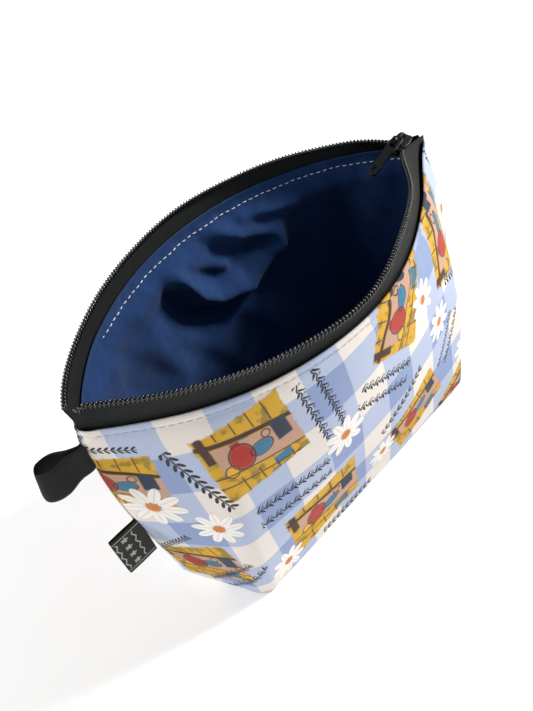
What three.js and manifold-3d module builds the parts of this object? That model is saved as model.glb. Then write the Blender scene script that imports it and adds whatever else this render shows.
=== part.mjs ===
// Open-top zip pouch for make-up: padded cotton shell on a boxed base, navy lining, coil zip round the mouth.
// Millimetres, +Z up, +X along the zip, -Y to the front. The origin is the middle of the base's underside.
import * as THREE from 'three';
import { mergeVertices } from 'three/addons/utils/BufferGeometryUtils.js';
import Module from 'manifold-3d';

const wasm = await Module();
wasm.setup();

// Driving dimensions of the bag
const MOUTH_Z = 118; // height at which a wall has turned to the mouth's outline
const EDGE_Z = 114; // folded edge of the fabric, with the tape standing above it
const MOUTH_LEFT = 97; // from the middle to a side seam at the mouth
const MOUTH_RIGHT = 101;
const FRONT_BULGE = 45.5; // how far the front lip stands out from the line between the side seams
const BACK_BULGE = 55;
const FRONT_ROUND = [1, 1.25]; // exponents of the lip's left and right halves: lower is blunter at its end
const BACK_ROUND = [0.78, 0.78];
const BASE_HALF = 75.5; // from the middle to a base corner
const BASE_DEPTH_HALF = 37.5;
const BASE_END = 93; // from the middle to the foot of a side seam
const SEAM_Y = 1; // the base seam lies just behind the origin
const MOUTH_SHIFT = 9.5; // the side seams lean back by this at the mouth
const SHIFT_CURVE = 1.3;
const BELLY = 6; // how far a filled wall swells at half height
const SIDE_SWELL = 5; // how far a side seam bows out there
const WALL_CURVE = 1.4; // how late a wall's outline turns from the base's to the mouth's

// Cloth, as inset from the outside of the bag
const OUTER = { out: 0, in: 0.8 };
const FLEECE = { out: 1.1, in: 3.1 };
const LINING = { out: 3.4, in: 3.9 };
const SEAM_GAP = 1; // between a front and a back panel, with the seam's thread in it
const THREAD_R = 0.2;
const FLEECE_STOP = 104; // height where the fleece ends, below the tape
const STITCH_DROP = 3; // a row of top stitching lies this far under a fabric edge
const STITCH_R = 0.1;

// Zip
const TAPE_SLOT = 1.8;
const TAPE_THICK = 0.5;
const TAPE_FOOT = 108; // height of the tape's sewn edge
const TAPE_FREE = 0.5; // the tape leaves the cloth this far above the fabric's edge
const COIL_R = 1.25;
const COIL_CLEAR = 0.3; // between a tape and its coil
const COIL_LEFT = -93;
const COIL_RIGHT = { front: 84.3, back: 87.2 };
const LIP_LEFT_Z = 124; // middle of the coil at the left seam
const LIP_RIGHT_Z = 120.8;
const LIP_APART = 1.75; // half the space between the two coils where they meet
const TAPE_APART = 4; // half the space between the two tapes beside the slider

// Slider and pull
const SLIDER_LEFT = 83;
const SLIDER_LONG = 9.5;
const SLIDER_WIDE = 8.5;
const ZIP_Y = 13; // the slider's line
const PLATE_THICK = 1.1;
const PLATE_CLEAR = 0.35;
const BAIL_LONG = 6.4;
const BAIL_WIDE = 1.8;
const BAIL_THICK = 1;
const BAIL_RISE = 3.4;
const PIVOT_RISE = 1.85; // of the pull's bar above the upper plate
const PULL_LONG = 21;
const PULL_WIDE = 5.6;
const PULL_THICK = 1.2;
const PULL_EYE = 5.6;
const PULL_BAR_R = 0.55;
const PULL_DROOP = THREE.MathUtils.degToRad(20); // the pull hangs this far below level, into the mouth

// Pieces caught in the left side seam
const ROOT_OUT = 1.4; // their roots start this far out of the seam, with room to turn
const LOOP_Z = 102;
const LOOP_WIDE = 14.5;
const LOOP_OUT = 18;
const LOOP_TURN = THREE.MathUtils.degToRad(25); // the loop points this far round to the back
const STRAP_THICK = 0.9;
const LABEL_Z = 45;
const LABEL_WIDE = 28;
const LABEL_OUT = 12.5;
const LABEL_THICK = 0.5;
const LABEL_FOLD_R = 0.2;

// How finely cloth is divided: across an end of the base, across its long side, and up the wall
const END_STEPS = 6;
const SIDE_STEPS = 14;
const WALL_ROWS = [8, 20, 34, 50, 68, 88, FLEECE_STOP, EDGE_Z];

const FRONT = -1;
const BACK = 1;

const bag = new THREE.Group();
const look = (color, roughness, metalness = 0) => (
  new THREE.MeshStandardMaterial({ color, roughness, metalness })
);
const printed = look('#b9c6de', 0.9);
const lining = look('#22447c', 0.9);
const fleece = look('#e6e3dc', 1);
const tape = look('#1b1d1d', 0.85);
const nylon = look('#15171a', 0.35);
const webbing = look('#17181a', 0.8);
const labelCloth = look('#232420', 0.8);
const thread = look('#e9e8e4', 0.8);
const enamel = look('#101113', 0.35, 0.4);

function place(name, geometry, material) {
  const mesh = new THREE.Mesh(geometry, material);
  mesh.name = name;
  bag.add(mesh);
  return mesh;
}

// ---------- the bag's shape ----------

// Evenly spaced points of one half of the base's outline, from the left side seam to the right one.
function baseOutline() {
  const rightCorners = [[BASE_HALF, BASE_DEPTH_HALF], [BASE_END, 0]];
  const corners = [...rightCorners.map(([x, y]) => [-x, y]).reverse(), ...rightCorners];
  const steps = [END_STEPS, SIDE_STEPS, END_STEPS];
  const points = [new THREE.Vector2(...corners[0])];
  steps.forEach((count, k) => {
    const from = new THREE.Vector2(...corners[k]);
    const to = new THREE.Vector2(...corners[k + 1]);
    for (let i = 1; i <= count; i += 1) points.push(from.clone().lerp(to, i / count));
  });
  return points;
}

const BASE = baseOutline();

// Share of the outline's length at each of its points.
function lengthShares(points) {
  const lengths = [0];
  for (let i = 1; i < points.length; i += 1) {
    lengths.push(lengths[i - 1] + points[i].distanceTo(points[i - 1]));
  }
  return lengths.map((value) => value / lengths[lengths.length - 1]);
}

const SHARES = lengthShares(BASE);

// A lip's outline with its points at the same shares of its length.
function mouthOutline(bulge, [leftRound, rightRound]) {
  const fine = [];
  for (let i = 0; i <= 400; i += 1) {
    const s = Math.sin((i / 400 - 0.5) * Math.PI);
    const half = s < 0 ? MOUTH_LEFT : MOUTH_RIGHT;
    fine.push(new THREE.Vector2(half * s, bulge * (1 - s * s) ** (s < 0 ? leftRound : rightRound)));
  }
  const curve = new THREE.Path().setFromPoints(fine);
  curve.arcLengthDivisions = 1200;
  return SHARES.map((share) => curve.getPointAt(share));
}

const MOUTH = {
  [FRONT]: mouthOutline(FRONT_BULGE, FRONT_ROUND),
  [BACK]: mouthOutline(BACK_BULGE, BACK_ROUND),
};

// Half the bag's outline at a height, as distances from the plane of the side seams.
function outline(side, z) {
  const turn = Math.min(z / MOUTH_Z, 1) ** WALL_CURVE;
  const swell = 4 * turn * (1 - turn);
  return BASE.map((foot, i) => {
    const point = foot.clone().lerp(MOUTH[side][i], turn);
    const across = 2 * SHARES[i] - 1;
    point.x += SIDE_SWELL * swell * Math.sign(across) * across ** 2;
    point.y += BELLY * swell * (1 - across ** 4);
    return point;
  });
}

const seamY = (z) => SEAM_Y + MOUTH_SHIFT * Math.min(z / MOUTH_Z, 1) ** SHIFT_CURVE;

// The outline moved in and mitred at the side seams, as points in space. insetAt may depend on the share.
function row(side, insetAt, z, height = z) {
  const points = outline(side, Math.min(z, MOUTH_Z));
  const last = points.length - 1;
  const moved = points.map((point, i) => {
    const inset = typeof insetAt === 'function' ? insetAt(SHARES[i]) : insetAt;
    const before = points[Math.max(i - 1, 0)];
    const after = points[Math.min(i + 1, last)];
    const a = point.clone().sub(before).normalize();
    const b = after.clone().sub(point).normalize();
    if (i === 0 || i === last) return seamPoint(point, i === 0 ? b : a, inset);
    const normal = new THREE.Vector2(a.y + b.y, -a.x - b.x).normalize();
    const mitre = 1 / Math.sqrt((1 + a.dot(b)) / 2);
    return point.clone().addScaledVector(normal, inset * mitre);
  });
  return moved.map((p) => new THREE.Vector3(p.x, seamY(z) + side * Math.max(p.y, SEAM_GAP / 2), height));
}

// Where the moved outline meets the gap along the side seam.
function seamPoint(point, direction, inset) {
  const rise = Math.abs(direction.y);
  const run = Math.abs(direction.x);
  const reach = inset / rise + (SEAM_GAP / 2) * (run / rise);
  return new THREE.Vector2(point.x - Math.sign(point.x) * reach, SEAM_GAP / 2);
}

// ---------- closed solids ----------

function solidFrom(positions, faces) {
  const raw = new THREE.BufferGeometry();
  const numbers = positions.flatMap((p) => [p.x, p.y, p.z]);
  raw.setAttribute('position', new THREE.Float32BufferAttribute(numbers, 3));
  raw.setIndex(faces.flat());
  const merged = mergeVertices(raw, 1e-3);
  const index = Array.from(merged.index.array);
  const kept = [];
  for (let i = 0; i < index.length; i += 3) {
    const [a, b, c] = index.slice(i, i + 3);
    if (a !== b && b !== c && c !== a) kept.push(a, b, c);
  }
  merged.setIndex(kept);
  return merged;
}

// A shell between two sheets of rows: outside first, both running from the top edge down.
function shell(outside, inside, side) {
  const rows = outside.length;
  const columns = outside[0].length;
  const at = (layer, r, c) => (layer * rows + r) * columns + c;
  const faces = [];
  const quad = (a, b, c, d) => faces.push([a, b, c], [a, c, d]);
  for (let r = 0; r < rows - 1; r += 1) {
    for (let c = 0; c < columns - 1; c += 1) {
      quad(at(0, r, c), at(0, r + 1, c), at(0, r + 1, c + 1), at(0, r, c + 1));
      quad(at(1, r, c), at(1, r, c + 1), at(1, r + 1, c + 1), at(1, r + 1, c));
    }
    quad(at(0, r, 0), at(1, r, 0), at(1, r + 1, 0), at(0, r + 1, 0));
    const e = columns - 1;
    quad(at(0, r, e), at(0, r + 1, e), at(1, r + 1, e), at(1, r, e));
  }
  for (let c = 0; c < columns - 1; c += 1) {
    quad(at(0, 0, c), at(0, 0, c + 1), at(1, 0, c + 1), at(1, 0, c));
    const e = rows - 1;
    quad(at(0, e, c), at(1, e, c), at(1, e, c + 1), at(0, e, c + 1));
  }
  if (side === BACK) faces.forEach((face) => face.reverse());
  return solidFrom([...outside.flat(), ...inside.flat()], faces);
}

// A wall and its half of the base at one inset, from the top edge down and under to the base seam.
function panelSheet(side, inset, top) {
  const heights = WALL_ROWS.filter((z) => z <= top).reverse();
  const sheet = heights.map((z) => row(side, inset, z));
  const foot = row(side, inset, inset);
  const edge = SEAM_Y + side * (SEAM_GAP / 2);
  return [...sheet, foot, foot.map((p) => new THREE.Vector3(p.x, edge, inset))];
}

function panel(name, side, cloth, top, material) {
  const geometry = shell(panelSheet(side, cloth.out, top), panelSheet(side, cloth.in, top), side);
  place(name, geometry, material);
}

// ---------- the lips that carry the zip ----------

const ease = (value) => THREE.MathUtils.smoothstep(value, 0, 1);

// How far in from the mouth's outline a coil lies, by its share of the way from the left seam to the right one.
const LIP_INSET = {
  [FRONT]: (share) => 2.6 - 3 * ease(share / 0.2) + 3.6 * ease((share - 0.45) / 0.25),
  [BACK]: (share) => 0.4 + 1.6 * ease(share / 0.3),
};
// Where along X a coil starts to bend in to the slider, where it arrives, and how late it bends
const LIP_BEND = { [FRONT]: { from: 58, to: 86, late: 2.5 }, [BACK]: { from: 58, to: 88, late: 8 } };

const lipZ = (share) => THREE.MathUtils.lerp(LIP_LEFT_Z, LIP_RIGHT_Z, ease(share));

// How far a place is past the slider, on the way to the right seam.
const pastSlider = (x) => (
  THREE.MathUtils.clamp((x - SLIDER_LEFT - SLIDER_LONG) / (MOUTH_RIGHT - SLIDER_LEFT - SLIDER_LONG), 0, 1)
);

// The line of a coil, moved in by extra and down by drop. It comes as close as apart to the slider's line.
function lipRow(side, extra, drop, apart) {
  const line = row(side, (share) => LIP_INSET[side](share) + extra, MOUTH_Z);
  const { from, to, late } = LIP_BEND[side];
  const seam = seamY(MOUTH_Z);
  return line.map((p, i) => {
    const bend = THREE.MathUtils.clamp((p.x - from) / (to - from), 0, 1) ** late;
    const free = Math.max(side * (p.y - seam), LIP_APART - extra);
    const near = THREE.MathUtils.lerp(apart, LIP_APART, pastSlider(p.x)) - extra;
    const middle = THREE.MathUtils.lerp(ZIP_Y, seam, pastSlider(p.x));
    const y = THREE.MathUtils.lerp(seam + side * free, middle + side * near, bend);
    return new THREE.Vector3(p.x, y, lipZ(SHARES[i]) - drop);
  });
}

function tapeSheet(side, extra) {
  return [
    lipRow(side, extra - TAPE_THICK / 2, COIL_R + COIL_CLEAR, TAPE_APART),
    row(side, TAPE_SLOT + extra, EDGE_Z, EDGE_Z + TAPE_FREE),
    row(side, TAPE_SLOT + extra, TAPE_FOOT),
  ];
}

function zipTape(name, side) {
  place(name, shell(tapeSheet(side, 0), tapeSheet(side, TAPE_THICK), side), tape);
}

// A rod of round section along points in space.
function rod(points, radius, sides, steps) {
  const section = new THREE.Shape();
  for (let i = 0; i < sides; i += 1) {
    const angle = (i / sides) * 2 * Math.PI;
    const corner = [radius * Math.cos(angle), radius * Math.sin(angle)];
    if (i === 0) section.moveTo(...corner);
    else section.lineTo(...corner);
  }
  const path = new THREE.CatmullRomCurve3(points, false, 'centripetal');
  return new THREE.ExtrudeGeometry(section, { steps, extrudePath: path });
}

// The part of a row between two places along X.
function between(points, low, high) {
  const crossing = (x) => {
    const i = points.findIndex((p, k) => k > 0 && p.x >= x);
    const share = (x - points[i - 1].x) / (points[i].x - points[i - 1].x);
    return points[i - 1].clone().lerp(points[i], share);
  };
  return [crossing(low), ...points.filter((p) => p.x > low + 1 && p.x < high - 1), crossing(high)];
}

function zipCoil(name, side, right) {
  place(name, rod(between(lipRow(side, 0, 0, LIP_APART), COIL_LEFT, right), COIL_R, 8, 44), nylon);
}

// ---------- sewing ----------

// A row of top stitching lies in the slot under a fabric edge, between the cloth and the tape.
function topStitch(name, side) {
  const line = row(side, (OUTER.in + TAPE_SLOT) / 2, EDGE_Z - STITCH_DROP);
  const fromSeam = 10;
  place(name, rod(between(line, -MOUTH_LEFT + fromSeam, MOUTH_RIGHT - fromSeam), STITCH_R, 4, 60), thread);
}

// Thread in the gap between the front and back panels, at the mitred ends of a cloth layer.
function seamEnd(right, cloth, z) {
  const middle = (cloth.out + cloth.in) / 2;
  const ends = [FRONT, BACK].map((side) => {
    const line = row(side, middle, z);
    return right ? line[line.length - 1] : line[0];
  });
  return ends[0].lerp(ends[1], 0.5);
}

function sideThread(name, right, cloth) {
  const heights = [cloth.in + 2, 20, 34, 50, 68, 88, TAPE_FOOT - 2];
  place(name, rod(heights.map((z) => seamEnd(right, cloth, z)), THREAD_R, 5, 12), thread);
}

function baseThread(name, cloth) {
  const z = (cloth.out + cloth.in) / 2;
  const end = BASE_END - 9;
  const line = [-end, 0, end].map((x) => new THREE.Vector3(x, SEAM_Y, z));
  place(name, rod(line, THREAD_R, 5, 2), thread);
}

// ---------- slider and pull ----------

function toManifold(geometry) {
  const plain = geometry.clone();
  plain.deleteAttribute('normal');
  plain.deleteAttribute('uv');
  const merged = mergeVertices(plain, 1e-4);
  return new wasm.Manifold(new wasm.Mesh({
    numProp: 3,
    vertProperties: new Float32Array(merged.attributes.position.array),
    triVerts: new Uint32Array(merged.index.array),
  }));
}

function fromManifold(solid) {
  const { vertProperties, triVerts } = solid.getMesh();
  const geometry = new THREE.BufferGeometry();
  geometry.setAttribute('position', new THREE.Float32BufferAttribute(vertProperties, 3));
  geometry.setIndex(Array.from(triVerts));
  return geometry;
}

// A flat plate with the given outline, from one height to another.
function plate(outlinePoints, low, high) {
  const shape = new THREE.Shape(outlinePoints.map(([x, y]) => new THREE.Vector2(x, y)));
  return new THREE.ExtrudeGeometry(shape, { depth: high - low, bevelEnabled: false }).translate(0, 0, low);
}

function block(x0, x1, y0, y1, z0, z1) {
  return plate([[x0, y0], [x1, y0], [x1, y1], [x0, y1]], z0, z1);
}

const PLATE_LOW = LIP_RIGHT_Z + COIL_R + PLATE_CLEAR;
const PLATE_TOP = PLATE_LOW + PLATE_THICK;
const PLATE_UNDER = LIP_RIGHT_Z - COIL_R - PLATE_CLEAR;
const BAIL_LEFT = SLIDER_LEFT + 0.9;
const BAIL_RIGHT = BAIL_LEFT + BAIL_LONG;
const PIVOT = new THREE.Vector3(BAIL_LEFT + 1.7, ZIP_Y, PLATE_TOP + PIVOT_RISE);

// Shield outline of a slider plate: wide where the two chains enter, narrow behind.
function shield(width, left, right) {
  const half = width / 2;
  return [[left, -half * 0.55], [left + 1.6, -half], [left + 5, -half], [right, -half * 0.62],
    [right, half * 0.62], [left + 5, half], [left + 1.6, half], [left, half * 0.55]];
}

function sliderBody() {
  const low = PLATE_UNDER - PLATE_THICK;
  const bailTop = PLATE_TOP + BAIL_RISE;
  const bailHalf = BAIL_WIDE / 2;
  const upper = plate(shield(SLIDER_WIDE, SLIDER_LEFT, SLIDER_LEFT + SLIDER_LONG), PLATE_LOW, PLATE_TOP);
  const lower = plate(shield(SLIDER_WIDE - 2.2, SLIDER_LEFT, SLIDER_LEFT + 5.4), low, PLATE_UNDER);
  const post = block(SLIDER_LEFT + 0.4, SLIDER_LEFT + 2.4, -1, 1, PLATE_UNDER - 0.2, PLATE_LOW + 0.2);
  const bail = block(BAIL_LEFT, BAIL_RIGHT, -bailHalf, bailHalf, PLATE_TOP - 0.2, bailTop);
  const gapLeft = BAIL_LEFT + BAIL_THICK;
  const gap = block(gapLeft, BAIL_RIGHT - BAIL_THICK, -BAIL_WIDE, BAIL_WIDE, PLATE_TOP, bailTop - 0.9);
  const arch = toManifold(bail).subtract(toManifold(gap));
  const solid = toManifold(upper).add(toManifold(lower)).add(toManifold(post)).add(arch);
  place('zip_slider_body', fromManifold(solid).translate(0, ZIP_Y, 0), enamel);
}

// Outline of the pull as it would lie level to the left of its pivot.
function pullOutline() {
  const half = PULL_WIDE / 2;
  const upperSide = [[0.6, half - 0.3], [-PULL_EYE, half], [-9, half - 0.7], [1.5 - PULL_LONG, half - 0.4],
    [-PULL_LONG, half - 1.8]];
  const lowerSide = upperSide.map(([x, y]) => [x, -y]).reverse();
  return [...lowerSide, ...upperSide];
}

// The pull hangs to the left, into the mouth, turning on the bar in its eye.
function pullTab() {
  const half = PULL_THICK / 2;
  const eyeHalf = BAIL_WIDE / 2 + 0.5;
  const eye = block(-PULL_EYE, 2, -eyeHalf, eyeHalf, -1 - half, 1 + half);
  const bar = new THREE.CylinderGeometry(PULL_BAR_R, PULL_BAR_R, PULL_WIDE - 1, 10);
  const grip = toManifold(plate(pullOutline(), -half, half)).subtract(toManifold(eye));
  const solid = fromManifold(grip.add(toManifold(bar)));
  place('zip_pull_tab', solid.rotateY(-PULL_DROOP).translate(PIVOT.x, PIVOT.y, PIVOT.z), enamel);
}

// ---------- loop and label in the left side seam ----------

// A strap of rectangular section, its width upright, along an outline in a level plane.
function strap(points, thickness, width, middle, steps) {
  const level = points.map(([x, y]) => new THREE.Vector3(x, y, 0));
  const line = new THREE.CatmullRomCurve3(level, false, 'centripetal').getSpacedPoints(steps);
  const edge = (sign) => line.map((p, i) => {
    const along = line[Math.min(i + 1, steps)].clone().sub(line[Math.max(i - 1, 0)]).normalize();
    return new THREE.Vector2(p.x - along.y * sign * thickness / 2, p.y + along.x * sign * thickness / 2);
  });
  const shape = new THREE.Shape([...edge(-1), ...edge(1).reverse()]);
  const band = new THREE.ExtrudeGeometry(shape, { depth: width, bevelEnabled: false });
  return band.translate(0, 0, middle - width / 2);
}

const leftSeam = (z) => new THREE.Vector2(outline(FRONT, z)[0].x - ROOT_OUT, seamY(z));

// A teardrop of webbing: a straight neck from the seam, then an open eye.
function sideLoop() {
  const root = leftSeam(LOOP_Z);
  const out = new THREE.Vector2(-Math.cos(LOOP_TURN), Math.sin(LOOP_TURN));
  const sideways = new THREE.Vector2(out.y, -out.x);
  const half = [[0, 0.8], [4, 1.6], [9, 4], [13, 4.3], [LOOP_OUT - 1.6, 3], [LOOP_OUT - 0.5, 0]];
  const teardrop = [...half.map(([u, v]) => [u, -v]), ...half.slice(0, -1).reverse()];
  const points = teardrop.map(([u, v]) => root.clone().addScaledVector(out, u).addScaledVector(sideways, v));
  place('side_loop', strap(points.map((p) => [p.x, p.y]), STRAP_THICK, LOOP_WIDE, LOOP_Z, 32), webbing);
}

// A woven tape folded in two, its fold to the left and its cut ends at the seam.
function sideLabel() {
  const { x, y } = leftSeam(LABEL_Z);
  const inner = LABEL_FOLD_R;
  const outer = inner + LABEL_THICK;
  const fold = x - LABEL_OUT + outer;
  const shape = new THREE.Shape();
  shape.moveTo(x, y + outer);
  shape.lineTo(fold, y + outer);
  shape.absarc(fold, y, outer, Math.PI / 2, 1.5 * Math.PI, false);
  shape.lineTo(x, y - outer);
  shape.lineTo(x, y - inner);
  shape.lineTo(fold, y - inner);
  shape.absarc(fold, y, inner, 1.5 * Math.PI, Math.PI / 2, true);
  shape.lineTo(x, y + inner);
  const settings = { depth: LABEL_WIDE, bevelEnabled: false, curveSegments: 6 };
  const geometry = new THREE.ExtrudeGeometry(shape, settings).translate(0, 0, LABEL_Z - LABEL_WIDE / 2);
  place('side_label', geometry, labelCloth);
}

// ---------- the whole bag ----------

for (const [word, side] of [['front', FRONT], ['back', BACK]]) {
  panel(`${word}_outer_panel`, side, OUTER, EDGE_Z, printed);
  panel(`${word}_fleece`, side, FLEECE, FLEECE_STOP, fleece);
  panel(`${word}_lining`, side, LINING, EDGE_Z, lining);
  zipTape(`${word}_zip_tape`, side);
  zipCoil(`${word}_zip_coil`, side, COIL_RIGHT[word]);
  topStitch(`${word}_top_stitch`, side);
}
for (const [word, right] of [['left', false], ['right', true]]) {
  sideThread(`${word}_side_seam_thread`, right, OUTER);
  sideThread(`${word}_lining_seam_thread`, right, LINING);
}
baseThread('base_seam_thread', OUTER);
baseThread('lining_base_seam_thread', LINING);
sliderBody();
pullTab();
sideLoop();
sideLabel();

export default bag;
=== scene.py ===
"""The looks of an open zip make-up pouch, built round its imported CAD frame.

Lengths inside this script are millimetres in the row frame (+X along the zip, -Y front, +Z up) and become
metres when a mesh is made. A place on a wall is (along, up): millimetres round the wall from the middle of
the panel, and height above the base.
"""
import math

import bmesh
import bpy
import numpy as np
from mathutils import Matrix, Vector


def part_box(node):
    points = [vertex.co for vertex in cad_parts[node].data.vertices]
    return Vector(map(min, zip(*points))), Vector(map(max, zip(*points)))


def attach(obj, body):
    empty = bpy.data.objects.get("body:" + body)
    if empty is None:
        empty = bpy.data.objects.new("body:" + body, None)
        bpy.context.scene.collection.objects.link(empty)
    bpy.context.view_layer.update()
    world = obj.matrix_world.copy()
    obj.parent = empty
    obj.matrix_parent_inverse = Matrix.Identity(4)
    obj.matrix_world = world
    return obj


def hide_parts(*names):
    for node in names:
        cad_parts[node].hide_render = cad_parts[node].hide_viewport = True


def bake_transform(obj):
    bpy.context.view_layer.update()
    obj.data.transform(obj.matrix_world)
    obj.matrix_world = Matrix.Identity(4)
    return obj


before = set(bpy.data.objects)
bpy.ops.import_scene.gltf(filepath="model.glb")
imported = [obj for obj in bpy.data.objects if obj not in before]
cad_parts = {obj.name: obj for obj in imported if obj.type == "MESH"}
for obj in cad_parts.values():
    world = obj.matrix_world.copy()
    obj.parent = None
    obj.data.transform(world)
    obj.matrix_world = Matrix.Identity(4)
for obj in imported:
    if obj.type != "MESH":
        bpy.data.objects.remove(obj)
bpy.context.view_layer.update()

MM = 0.001
FRONT, BACK = -1, 1
SIDES = (("front", FRONT), ("back", BACK))


def node_box(name):
    """A CAD node's lowest and highest corner, in millimetres."""
    low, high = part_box(name)
    return np.array(low) / MM, np.array(high) / MM


def placed(name, data):
    """A new object in the scene that holds a mesh, a camera or a light."""
    thing = bpy.data.objects.new(name, data)
    bpy.context.scene.collection.objects.link(thing)
    return thing


# ---------- camera ----------

IMAGE_HIGH = 711
FOCAL_PIXELS = 658.3
SENSOR = 36
CAMERA_AZIMUTH, CAMERA_ELEVATION, CAMERA_ROLL = map(math.radians, (-36.1, 48.7, -13.1))
CAMERA_DISTANCE = 304.7
CAMERA_TARGET = Vector((-5.45, 19.7, 60))


def make_camera():
    back = Vector((
        math.sin(CAMERA_AZIMUTH) * math.cos(CAMERA_ELEVATION),
        -math.cos(CAMERA_AZIMUTH) * math.cos(CAMERA_ELEVATION),
        math.sin(CAMERA_ELEVATION),
    ))
    level = (-back).cross(Vector((0, 0, 1))).normalized()
    upright = level.cross(-back)
    turn, lift = math.cos(CAMERA_ROLL), math.sin(CAMERA_ROLL)
    right = level * turn + upright * lift
    up = upright * turn - level * lift
    data = bpy.data.cameras.new("camera")
    data.sensor_width = SENSOR
    data.lens = SENSOR * FOCAL_PIXELS / IMAGE_HIGH
    data.clip_start, data.clip_end = 0.01, 20
    camera = placed("camera", data)
    place = Matrix((right, up, back)).transposed().to_4x4()
    place.translation = (CAMERA_TARGET + back * CAMERA_DISTANCE) * MM
    camera.matrix_world = place
    bpy.context.scene.camera = camera


# ---------- the bag's shape ----------

EDGE_Z = node_box("front_outer_panel")[1][2]  # folded edge of the fabric
MOUTH_Z = 118  # height at which a wall has turned to the mouth's outline
MOUTH_LEFT, MOUTH_RIGHT = 97, 101
FRONT_BULGE, BACK_BULGE = 45.5, 55
FRONT_ROUND, BACK_ROUND = (1, 1.25), (0.78, 0.78)  # exponents of a lip's left and right halves
BASE_HALF, BASE_DEPTH_HALF, BASE_END = 75.5, 37.5, 93
SEAM_Y, MOUTH_SHIFT = 1, 9.5
BELLY, SIDE_SWELL, WALL_CURVE = 6, 5, 1.4
CORNER_SOFT = 5  # how far round a base corner is smoothed
FOLD_R = 2.6  # radius of the fold between a wall and the base
SEAM_CLEAR = 0.06  # from a seam's line to the cloth on each side
SEAM_CURVE = 1.3  # how late the side seams lean back
END_LONG = math.hypot(BASE_END - BASE_HALF, BASE_DEPTH_HALF)
GIRTH = 2 * (END_LONG + BASE_HALF)  # round one panel from seam to seam


def smooth(x, low, high):
    t = np.clip((x - low) / (high - low), 0, 1)
    return t * t * (3 - 2 * t)


def bump(x, middle, width):
    return np.exp(-(((x - middle) / width) ** 2))


def base_outline(along):
    """Half of the base's outline, with its corners rounded by averaging along it."""
    stops = np.array([-GIRTH / 2, -BASE_HALF, BASE_HALF, GIRTH / 2])
    xs = np.array([-BASE_END, -BASE_HALF, BASE_HALF, BASE_END])
    ys = np.array([0, BASE_DEPTH_HALF, BASE_DEPTH_HALF, 0])
    shifts = np.linspace(-CORNER_SOFT, CORNER_SOFT, 9)
    near_seam = np.clip((GIRTH / 2 - np.abs(along)) / CORNER_SOFT, 0, 1)
    moved = along[:, None] + shifts[None] * near_seam[:, None]
    return np.interp(moved, stops, xs).mean(1), np.interp(moved, stops, ys).mean(1)


def mouth_outline(along, side):
    bulge, (left, right) = (FRONT_BULGE, FRONT_ROUND) if side == FRONT else (BACK_BULGE, BACK_ROUND)
    s = np.sin(np.linspace(-0.5, 0.5, 1601) * math.pi)
    x = np.where(s < 0, MOUTH_LEFT, MOUTH_RIGHT) * s
    y = bulge * (1 - s * s) ** np.where(s < 0, left, right)
    length = np.concatenate([[0], np.cumsum(np.hypot(np.diff(x), np.diff(y)))])
    share = along / GIRTH + 0.5
    return np.interp(share * length[-1], length, x), np.interp(share * length[-1], length, y)


def seam_y(z):
    return SEAM_Y + MOUTH_SHIFT * np.clip(z / MOUTH_Z, 0, 1) ** SEAM_CURVE


def wall_row(side, along, z, inset, height=None):
    """One row of points round a wall. inset and height may be arrays as long as along."""
    turn = np.clip(z / MOUTH_Z, 0, 1) ** WALL_CURVE
    swell = 4 * turn * (1 - turn)
    across = 2 * along / GIRTH
    base_x, base_y = base_outline(along)
    mouth_x, mouth_y = mouth_outline(along, side)
    x = base_x * (1 - turn) + mouth_x * turn + SIDE_SWELL * swell * np.sign(across) * across ** 2
    y = base_y * (1 - turn) + mouth_y * turn + BELLY * swell * (1 - across ** 4)
    dx, dy = np.gradient(x), np.gradient(y)
    size = np.hypot(dx, dy)
    x = x + inset * dy / size
    y = y - inset * dx / size
    level = z if height is None else height
    y = np.maximum(y, SEAM_CLEAR)
    return np.stack([x, seam_y(z) + side * y, np.broadcast_to(level, x.shape)], -1)


# ---------- folds and dents ----------

def ripple(along, up, side):
    """Low swells that any filled cloth wall has."""
    phase = 1.7 if side == BACK else 0
    slow = np.sin(along / 19 + up / 31 + phase) + 0.7 * np.sin(along / 11 - up / 17 + 2.1 + phase)
    quick = np.sin(along / 5.3 + 1.3 * np.sin(up / 13) + phase) * np.sin(up / 9 + along / 27)
    return 0.38 * slow + 0.12 * quick


STITCH_DROP = 3  # from a fabric edge down to its top stitching


def puckers(along, down):
    """Short gathers that a row of top stitching pulls into the cloth."""
    gather = 0.5 * np.sin(along / 1.55 + 1.4 * np.sin(along / 8)) + 0.5 * np.sin(along / 3.4 + 0.8)
    return gather * np.exp(-np.maximum(down - STITCH_DROP, 0) / 6) * smooth(down, 0.5, STITCH_DROP)


CORNER_FULL = 4  # how far the outer cloth swells out beside the right seam


def outer_swell(side):
    """How far the outer cloth stands out from its plain wall."""
    def swell(along, up):
        down = EDGE_Z - up
        from_seam = GIRTH / 2 - np.abs(along)
        out = ripple(along, up, side) * smooth(up, 2, 22) * smooth(down, 2, 14) * smooth(from_seam, 0, 14)
        out = out + 0.16 * puckers(along, down)
        out = out - 0.7 * bump(down, STITCH_DROP, 0.9)
        out = out + 0.35 * bump(down, 1.3, 1.0) + 0.5 * bump(down, 8, 4)
        out = out - 1.1 * bump(from_seam, 0, 1.7)
        out = out + 0.35 * bump(from_seam, 5, 3) * np.sin(up / 4.1 + side)
        corner = bump(np.abs(along), BASE_HALF, 9) * bump(up, 0, 16)
        full = bump(along, GIRTH / 2 - 11, 10) * smooth(up, 40, 80) * smooth(down, -2, 22)
        out = out + CORNER_FULL * full * smooth(from_seam, 0, 6)
        return out - 0.5 * corner * np.sin(along / 2.1)
    return swell


# ---------- meshes ----------

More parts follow.
